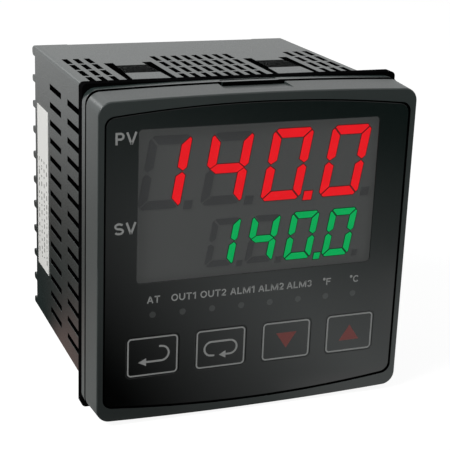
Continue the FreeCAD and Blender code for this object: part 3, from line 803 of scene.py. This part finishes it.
def front_legends():
    """Row names, lamp names and lamp dots on the front film."""
    grey = ink("legend_ink")
    dot = gloss_film("lamp_dot")
    face_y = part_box("front_overlay")[0].y
    low, high = window_edges()
    row_x = low.x - ROW_LEGEND_GAP
    for name, z in (("PV", high.z - UPPER_LEGEND_DROP), ("SV", low.z + LOWER_LEGEND_RISE)):
        legend("legend_" + name, name, row_x, z, ROW_LEGEND_HEIGHT, face_y, grey)
    low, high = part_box("indicator_leds")
    z = (low.z + high.z) / 2
    lamps = evenly(low.x, high.x, LED_LENGTH / 2, len(LAMP_LEGENDS))
    for number, (x, text) in enumerate(zip(lamps, LAMP_LEGENDS), start=1):
        spot = (x + LAMP_LEGEND_SHIFT, z + LAMP_LEGEND_RISE)
        legend(f"legend_lamp_{number}", text, *spot, LAMP_LEGEND_HEIGHT, face_y, grey)
        circle = arc_points((x, z), LAMP_DOT_RADIUS, 0, 345, steps=23)
        front_print(f"lamp_dot_{number}", [circle], face_y, "chassis", dot)


def arrow_head(x, z, length, half):
    """A triangle with its foot at a place, pointing to -X."""
    return [(x - length, z), (x, z + half), (x, z - half)]


def enter_symbol():
    """A line that hooks back to the left, with an arrow head."""
    bend = arc_points(HOOK_CENTRE, HOOK_RADIUS, 90, -90)
    start, end = HOOK_ENDS
    low = HOOK_CENTRE[1] - HOOK_RADIUS
    line = [(start, HOOK_CENTRE[1] + HOOK_RADIUS)] + bend + [(end, low)]
    return line, arrow_head(end, low, *HOOK_HEAD)


def mode_symbol():
    """A loop that runs round to an arrow head under itself."""
    left = arc_points((-LOOP_HALF, 0.0), LOOP_RADIUS, 270, 90)
    right = arc_points((LOOP_HALF, 0.0), LOOP_RADIUS, 90, -90)
    start, end = LOOP_ENDS
    line = [(start, -LOOP_RADIUS)] + left + right + [(end, -LOOP_RADIUS)]
    return line, arrow_head(end, -LOOP_RADIUS, *LOOP_HEAD)


def turned_over(points, across, up):
    """Points mirrored where a sign is -1."""
    return [(across * x, up * z) for x, z in points]


def moved(points, centre):
    return [(centre[0] + x, centre[1] + z) for x, z in points]


def key_prints():
    """The outline of each key and the symbol on it."""
    grey = ink("key_ink")
    red = ink("key_red")
    down = [(-TRIANGLE_HALF, TRIANGLE_BASE), (TRIANGLE_HALF, TRIANGLE_BASE), (0.0, -TRIANGLE_TIP)]
    symbols = (enter_symbol(), mode_symbol(), ([], down), ([], turned_over(down, 1, -1)))
    for key, (line, head) in zip(FILM_KEYS, symbols):
        low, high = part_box(key + "_key_pad")
        body = key + "_key"
        centre = ((low.x + high.x) / 2, (low.z + high.z) / 2)
        inset = 2 * KEY_OUTLINE_INSET + KEY_OUTLINE_WIDTH
        size = (high.x - low.x - inset, high.z - low.z - inset)
        outline = rounded_frame(centre, *size, KEY_OUTLINE_RADIUS, KEY_OUTLINE_WIDTH)
        front_print(key + "_outline", outline, low.y, body, grey)
        shapes = ribbon(moved(line, centre), SYMBOL_STROKE) + [moved(head, centre)]
        front_print(key + "_symbol", shapes, low.y, body, grey if line else red)


def digit_bars(width, height, stroke):
    """Outlines of the seven bars of one upright digit about its middle, by their usual letters."""
    x, z = width / 2, height / 2
    cut = BAR_CORNER * stroke
    inner = stroke + 2 * BAR_GAP
    top = [(cut / 2 + BAR_GAP - x, z - cut / 2 + BAR_GAP), (cut - x, z), (x - cut, z)]
    top += [(x - cut / 2 - BAR_GAP, z - cut / 2 + BAR_GAP), (x - inner, z - stroke), (inner - x, z - stroke)]
    left = [(-x, z - cut), (cut / 2 - BAR_GAP - x, z - cut / 2 - BAR_GAP), (stroke - x, z - inner)]
    left += [(stroke - x, TIP_GAP + BAR_TIP_INNER * stroke), (BAR_TIP * stroke - x, TIP_GAP)]
    left.append((-x, TIP_GAP + BAR_TIP_OUTER * stroke))
    end = x - BAR_TIP * stroke - BAR_GAP
    shoulder = x - inner
    half = stroke / 2
    middle = [(-end, 0.0), (-shoulder, half), (shoulder, half)]
    middle += [(end, 0.0), (shoulder, -half), (-shoulder, -half)]
    return {
        "a": top,
        "d": turned_over(top, 1, -1),
        "f": left,
        "g": middle,
        "b": turned_over(left, -1, 1),
        "c": turned_over(left, -1, -1),
        "e": turned_over(left, 1, -1),
    }


def leaning(points, x, z):
    """Points of an upright digit, leaned over and moved to its middle."""
    return [Vector((x + across + up * DIGIT_LEAN, z + up)) for across, up in points]


def digit_row(row):
    """Outlines of the lit and the dark bars of one row, placed on its dark bars in the frame."""
    width, height, stroke, pitch = DIGIT_ROWS[row]
    low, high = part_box(row + "_digits_dark")
    first = low.x + width / 2 + (height / 2 - BAR_CORNER * stroke) * DIGIT_LEAN
    z = high.z - height / 2
    near = width / 2 + POINT_GAP
    foot = -height / 2 - POINT_DROP
    point = [(near, foot), (near + stroke, foot), (near + stroke, foot + stroke), (near, foot + stroke)]
    lit, dark = [], []
    for index, digit in enumerate(READING):
        x = first + index * pitch
        for letter, outline in digit_bars(width, height, stroke).items():
            if letter in LIT_BARS[digit]:
                lit.append(leaning(outline, x, z))
            elif letter not in UNSEEN_WHEN_DARK:
                dark.append(leaning(outline, x, z))
        (lit if index == POINT_AFTER else dark).append(leaning(point, x, z))
    return lit, dark


def grown(corners, margin):
    """A convex outline moved outwards by a margin."""
    centre = sum(corners, Vector((0.0, 0.0))) / len(corners)
    count = len(corners)
    result = []
    for index, corner in enumerate(corners):
        normals = []
        for start, end in ((corners[index - 1], corner), (corner, corners[(index + 1) % count])):
            along = (end - start).normalized()
            normal = Vector((along.y, -along.x))
            normals.append(normal if normal.dot(start - centre) > 0 else -normal)
        outward = (normals[0] + normals[1]).normalized()
        result.append(corner + outward * (margin / outward.dot(normals[0])))
    return result


def digits():
    """Both rows of bars, with a darker rim round each lit one where its light spreads into the face."""
    face_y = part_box("display_housing")[0].y
    dark_bar = moulded("dark_segment", roughness=0.6, ior=1.4, mottle=0.03, grain=0.4 * MM, depth=0.01 * MM)
    # Painted light on the unlit bars
    glow(dark_bar, DARK_BAR_GLOW)
    for row, name in ROW_COLOURS.items():
        lit, dark = digit_row(row)
        slot = name + "_segment"
        looks = {"lit": (lit, slot, lit_segment(slot)), "dark": (dark, "dark_segment", dark_bar)}
        for state, (outlines, look, material) in looks.items():
            node = f"{row}_digits_{state}"
            low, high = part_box(node)
            bars = f"{row}_bars_{state}"
            piece = front_print(bars, outlines, high.y, "chassis", material, high.y - low.y)
            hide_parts(node)
        rims = [grown(outline, BAR_EDGE) for outline in lit]
        rim = lit_segment(name + "_rim")
        front_print(row + "_digits_rim", rims, face_y, "chassis", rim, BAR_EDGE_THICKNESS)


def label_print():
    """Rows of plain grey bars on the side label, in place of its text."""
    low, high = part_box("side_label")
    rear_x = min(corner.x for corner in corners_of("side_label") if corner.y > high.y - INK_THICKNESS)
    slope = (rear_x - low.x) / (high.y - low.y)
    draw = random.Random(LABEL_SEED)
    flat = bmesh.new()
    for middle in evenly(low.y, high.y, LABEL_MARGIN, LABEL_COLUMNS):
        top = LABEL_PRINT_TOP
        while top > low.z + LABEL_MARGIN + LABEL_WORD[1]:
            bottom = top - draw.uniform(*LABEL_WORD)
            corners = []
            for side, z in ((-1, top), (1, top), (1, bottom), (-1, bottom)):
                y = middle + side * LABEL_BAR_WIDTH / 2
                corners.append(flat.verts.new((low.x + slope * (y - low.y), y, z)))
            flat.faces.new(corners)
            top = bottom - draw.uniform(*LABEL_SPACE)
    thicken(flat, (-INK_THICKNESS, 0.0, 0.0))
    add_piece("label_bars", flat, "case", ink("label_ink"))


def terminal_places():
    """The middle of each terminal screw, down one column and then the other, and a head's radius."""
    low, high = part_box("terminal_screws")
    inner_edge = min(corner.x for corner in corners_of("terminal_screws") if corner.x > 0)
    radius = (high.x - inner_edge) / 2
    rows = evenly(low.z, high.z, radius, TERMINAL_ROWS)[::-1]
    column = high.x - radius
    return [(x, z) for x in (column, -column) for z in rows], radius


def add_copy(shape, mesh, place):
    """Adds a copy of a mesh to a shape, moved to its place by a matrix."""
    copy = mesh.copy()
    copy.transform(place)
    shape.from_mesh(copy)


def add_number(shape, text, place):
    """Adds a raised number to a shape, upright and facing the rear."""
    curve = bpy.data.curves.new("number", "FONT")
    curve.body = text
    curve.offset = 0.01
    curve.space_character = 1.05
    curve.resolution_u = 3
    holder = put_in_scene("number", curve)
    mesh = evaluated_mesh(holder)
    bpy.data.objects.remove(holder)
    low, high = extent([vertex.co for vertex in mesh.vertices])
    mesh.transform(Matrix.Scale(NUMBER_HEIGHT / (high.y - low.y), 4) @ Matrix.Translation(-(low + high) / 2))
    flat = bmesh.new()
    flat.from_mesh(mesh)
    thicken(flat, (0.0, 0.0, INK_THICKNESS))
    turn = Matrix.Rotation(math.pi, 4, "Z") @ Matrix.Rotation(RIGHT_ANGLE, 4, "X")
    add_copy(shape, mesh_of("number", flat), Matrix.Translation(place) @ turn)


def terminal_numbers():
    """Plain numbers beside the rear terminals."""
    places, _ = terminal_places()
    face_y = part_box("terminal_plates")[1].y
    shape = bmesh.new()
    for number, (x, z) in enumerate(places, start=1):
        inward = NUMBER_GAP if x > 0 else -NUMBER_GAP
        add_number(shape, str(number), (x - inward, face_y, z))
    add_piece("terminal_numbers", tidied(shape), "case", ink("number_ink"))


def carved(body_mesh, cutter_mesh):
    """One mesh with another cut out of it."""
    body = put_in_scene("carved", body_mesh)
    cutter = put_in_scene("cutter", cutter_mesh)
    cut = body.modifiers.new("cut", "BOOLEAN")
    cut.operation = "DIFFERENCE"
    cut.object = cutter
    mesh = evaluated_mesh(body)
    bpy.data.objects.remove(body)
    bpy.data.objects.remove(cutter)
    return mesh


def add_block(shape, low, high):
    """Adds a box between two corners to a shape."""
    size = Vector(high) - Vector(low)
    middle = (Vector(high) + Vector(low)) / 2
    bmesh.ops.create_cube(shape, size=1.0, matrix=Matrix.Translation(middle) @ Matrix.Diagonal((*size, 1.0)))


def turned(profile, steps=32):
    """A solid of revolution about Y, from (radius, y) points that start and end on the axis."""
    shape = bmesh.new()
    line = [shape.verts.new((radius, y, 0.0)) for radius, y in profile]
    edges = [shape.edges.new(pair) for pair in zip(line, line[1:])]
    axis = {"cent": (0.0, 0.0, 0.0), "axis": (0.0, 1.0, 0.0)}
    bmesh.ops.spin(shape, geom=line + edges, angle=2 * math.pi, steps=steps, use_merge=True, **axis)
    bmesh.ops.remove_doubles(shape, verts=shape.verts, dist=SMALLEST_EDGE)
    return shape


def screw_head(radius, height):
    """A pan head with a slot and a shorter slot across it."""
    crown = SCREW_CROWN * height
    rim = arc_points((radius - crown, height - crown), crown, 0, 90, steps=5)
    profile = [(0.0, 0.0), (radius, 0.0), (radius, height - crown)] + rim[1:] + [(0.0, height)]
    head = mesh_of("head", turned(profile))
    floor = height - SCREW_SLOT_DEPTH
    half = SCREW_SLOT / 2
    for half_x, half_z in ((2 * radius, half), (half, SCREW_CROSS / 2)):
        cutter = bmesh.new()
        add_block(cutter, (-half_x, floor, -half_z), (half_x, 2 * height, half_z))
        head = carved(head, mesh_of("slot", cutter))
    return head


def terminal_screw_heads():
    """Pan heads with two slots, each turned its own way."""
    places, radius = terminal_places()
    low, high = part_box("terminal_screws")
    head = screw_head(radius, high.y - low.y)
    draw = random.Random(SCREW_SEED)
    shape = bmesh.new()
    for x, z in places:
        turn = Matrix.Rotation(draw.uniform(0.0, math.pi), 4, "Y")
        add_copy(shape, head, Matrix.Translation((x, low.y, z)) @ turn)
    nickel = plated("screw_nickel", roughness=0.3)
    piece = add_piece("screw_heads", tidied(shape), "case", nickel)
    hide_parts("terminal_screws")


def gold_fingers():
    """Contact strips on both faces of the tongues that plug into the rear sockets."""
    shape = bmesh.new()
    for node in ("power_board", "control_board"):
        low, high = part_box(node)
        tongue = [corner.z for corner in corners_of(node) if corner.y > high.y - INK_THICKNESS]
        reach = max(tongue) - FINGER_WIDTH
        for z in evenly(-reach, reach, 0.0, FINGER_COUNT):
            for face, out in ((low.x, -1), (high.x, 1)):
                inner, outer = sorted((face, face + out * FINGER_THICKNESS))
                start = (inner, high.y - FINGER_LENGTH, z - FINGER_WIDTH / 2)
                add_block(shape, start, (outer, high.y - INK_THICKNESS, z + FINGER_WIDTH / 2))
    add_piece("gold_fingers", shape, "chassis", plated("contact_gold", roughness=0.25))


def chip_leg(foot):
    """One bent leg that runs out along Y and down along X to its foot."""
    steps = ((0.0, 0.0), (LEG_SHOULDER * LEG_REACH, 0.0), (LEG_KNEE * LEG_REACH, foot), (LEG_REACH, foot))
    leg = bmesh.new()
    rows = []
    for y, x in steps:
        rows.append([leg.verts.new((x + side * LEG_THICKNESS / 2, y, -LEG_WIDTH / 2)) for side in (-1, 1)])
    for (low, high), (next_low, next_high) in zip(rows, rows[1:]):
        leg.faces.new((low, high, next_high, next_low))
    thicken(leg, (0.0, 0.0, LEG_WIDTH))
    return mesh_of("leg", leg)


def chip_legs():
    """Bent legs round the four sides of the controller chip."""
    low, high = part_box("controller_chip")
    middle = (low + high) / 2
    half = (high.y - low.y) / 2
    leg = chip_leg(low.x + LEG_THICKNESS / 2 - middle.x)
    shape = bmesh.new()
    for side in range(4):
        turn = Matrix.Translation(middle) @ Matrix.Rotation(side * RIGHT_ANGLE, 4, "X")
        for along in evenly(-half, half, 2 * LEG_WIDTH, LEG_COUNT):
            add_copy(shape, leg, turn @ Matrix.Translation((0.0, half, along)))
    add_piece("chip_legs", shape, "chassis", plated("leg_tin", roughness=0.35))


def solder_joints():
    """Cones of solder round the pins, on the outer faces of both boards."""
    places = []
    for node, (side, columns, rows, margin_y, margin_z) in PINS.items():
        low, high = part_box(node)
        for y in evenly(low.y, high.y, margin_y, columns):
            places += [(side, y, z) for z in evenly(low.z, high.z, margin_z, rows)]
    low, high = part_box("board_headers")
    middle = (low.y + high.y) / 2
    for side in (-1, 1):
        places += [(side, middle, z) for z in evenly(low.z, high.z, JOINT_RADIUS, HEADER_PINS)]
    profile = [(out * JOINT_RADIUS, up * JOINT_HEIGHT) for out, up in JOINT_SHAPE]
    cone = mesh_of("joint", turned(profile, steps=12))
    faces = {-1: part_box("power_board")[0].x, 1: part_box("control_board")[1].x}
    shape = bmesh.new()
    for side, y, z in places:
        turn = Matrix.Rotation(-side * RIGHT_ANGLE, 4, "Z")
        add_copy(shape, cone, Matrix.Translation((faces[side], y, z)) @ turn)
    add_piece("solder_joints", shape, "chassis", plated("solder_tin", roughness=0.3))


def rounded_bricks(name, bricks, round_by, material):
    """Blocks with rounded edges, each between two corners, as one piece on the chassis."""
    shape = bmesh.new()
    for low, high in bricks:
        add_block(shape, low, high)
    bmesh.ops.bevel(shape, geom=shape.edges[:], offset=round_by, segments=2, affect="EDGES", profile=0.5)
    add_piece(name, shape, "chassis", material)


def chip_resistors():
    """Rows of small resistors above the controller chip, each with a tinned cap at both ends."""
    low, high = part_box("controller_chip")
    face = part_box("control_board")[1].x
    inset = Vector((0.0, 0.0, RESISTOR_CAP))
    bodies, caps = [], []
    for row in range(RESISTOR_ROWS):
        foot = high.z + RESISTOR_GAP + row * (RESISTOR_SIZE.z + RESISTOR_GAP)
        for y in evenly(low.y, high.y, 0.0, RESISTOR_COUNT):
            start = Vector((face, y - RESISTOR_SIZE.y / 2, foot))
            end = start + RESISTOR_SIZE
            bodies.append((start + inset, end - inset))
            caps.append((start, Vector((end.x, end.y, start.z)) + inset))
            caps.append((Vector((start.x, start.y, end.z)) - inset, end))
    body = moulded("resistor_body", roughness=0.4)
    rounded_bricks("resistor_bodies", bodies, RESISTOR_EDGE, body)
    rounded_bricks("resistor_caps", caps, RESISTOR_CAP_EDGE, plated("cap_tin", roughness=0.32))


def slanted(x, y, slant):
    """X with a share of Y added."""
    return maths("ADD", x, maths("MULTIPLY", y, slant))


def patch(first, first_span, second, second_span):
    """A mask that fades in along two directions."""
    return maths("MULTIPLY", spread(first, *first_span), spread(second, *second_span))


def front_sweep(x, y):
    """What the front sees of the floor: darker far off and to the left, with white cards on the right."""
    far = spread(slanted(x, y, FRONT_SLANT), 0.0, FRONT_REACH)
    stops = [(place, tuple(level + tone for tone in FRONT_TINT)) for place, level in FRONT_LEVELS]
    fade = maths("POWER", spread(x, *FRONT_FADE), FRONT_FADE_POWER)
    sweep = mixed(fade, BLACK, blend_colours(far, stops))
    corner = patch(slanted(x, y, CARD_SLANT), CARD_EDGE, y, CARD_DEPTH)
    foot = patch(x, FOOT_CARD_X, y, FOOT_CARD_Y)
    return mixed(maths("MAXIMUM", corner, foot), sweep, WHITE)


def side_sweep(x, y):
    """What the sides see of the floor: paler further out, and black by the rear foot, a painted shadow."""
    out = size_of(x)
    along = slanted(y, out, -SIDE_SLANT)
    beside = blend_colours(spread(out, *SIDE_REACH), SIDE_COLOURS)
    beside = mixed(patch(along, REAR_SHADE_ALONG, out, REAR_SHADE_OUT), beside, BLACK)
    return mixed(spread(along, *BESIDE_BEZEL, smooth=True), BESIDE_BEZEL_COLOUR, beside)


def make_floor():
    """A white floor: white to the eye, graded in gloss, and dim as a bounce light."""
    bpy.ops.mesh.primitive_plane_add(size=6.0, location=(0.0, 0.0, cad_low.z))
    floor = bpy.context.object
    floor.name = "studio_floor"
    material, shader = new_shader("studio_floor")
    tree = material.node_tree
    tree.nodes.remove(shader)
    x, y, _ = coordinates(tree)
    grade = mixed(spread(y, *FRONT_TO_SIDE, smooth=True), front_sweep(x, y), side_sweep(x, y))
    paper = add_node(tree, "ShaderNodeBsdfDiffuse", {"Color": FLOOR_PAPER}).outputs["BSDF"]
    white = add_node(tree, "ShaderNodeEmission", {"Strength": FLOOR_WHITE}).outputs["Emission"]
    seen = add_node(tree, "ShaderNodeAddShader", {0: white, 1: paper}).outputs["Shader"]
    sheen = add_node(tree, "ShaderNodeEmission", {"Color": grade}).outputs["Emission"]
    rays = add_node(tree, "ShaderNodeLightPath").outputs
    surface = paper
    for ray, light in (("Is Glossy Ray", sheen), ("Is Camera Ray", seen)):
        choice = {"Fac": rays[ray], 1: surface, 2: light}
        surface = add_node(tree, "ShaderNodeMixShader", choice).outputs["Shader"]
    set_inputs(tree.nodes["Material Output"], {"Surface": surface})
    floor.data.materials.append(material)


def make_light():
    """A soft lamp above on the left, two behind, and a dim room with a white backdrop."""
    for name, (place, aim, size, power) in LAMPS.items():
        lamp = bpy.data.lights.new(name, "AREA")
        lamp.shape = "DISK"
        lamp.size = size
        lamp.energy = power
        light = put_in_scene(name, lamp)
        light.location = place
        light.rotation_euler = (Vector(aim) - Vector(place)).to_track_quat("-Z", "Y").to_euler()
    world = bpy.data.worlds.new("studio")
    bpy.context.scene.world = world
    world.use_nodes = True
    tree = world.node_tree
    rays = add_node(tree, "ShaderNodeLightPath").outputs
    gloss = maths("MAXIMUM", rays["Is Glossy Ray"], rays["Is Transmission Ray"])
    level = spread(gloss, 0.0, 1.0, ROOM_FILL, ROOM_IN_GLOSS)
    strength = maths("MAXIMUM", level, rays["Is Camera Ray"])
    set_inputs(tree.nodes["Background"], {"Color": WHITE, "Strength": strength})


def make_camera():
    data = bpy.data.cameras.new("camera")
    data.sensor_width = CAMERA_SENSOR
    data.lens = CAMERA_LENS
    data.clip_start = 0.01
    camera = put_in_scene("camera", data)
    look = (CAMERA_TARGET - CAMERA_PLACE).to_track_quat("-Z", "Y").to_matrix().to_4x4()
    camera.matrix_world = Matrix.Translation(CAMERA_PLACE) @ look @ Matrix.Rotation(CAMERA_ROLL, 4, "Z")
    bpy.context.scene.camera = camera


dress_nodes()
front_legends()
key_prints()
digits()
label_print()
terminal_numbers()
terminal_screw_heads()
gold_fingers()
chip_legs()
solder_joints()
chip_resistors()
make_floor()
make_light()
make_camera()
bpy.context.scene.view_settings.view_transform = "Standard"
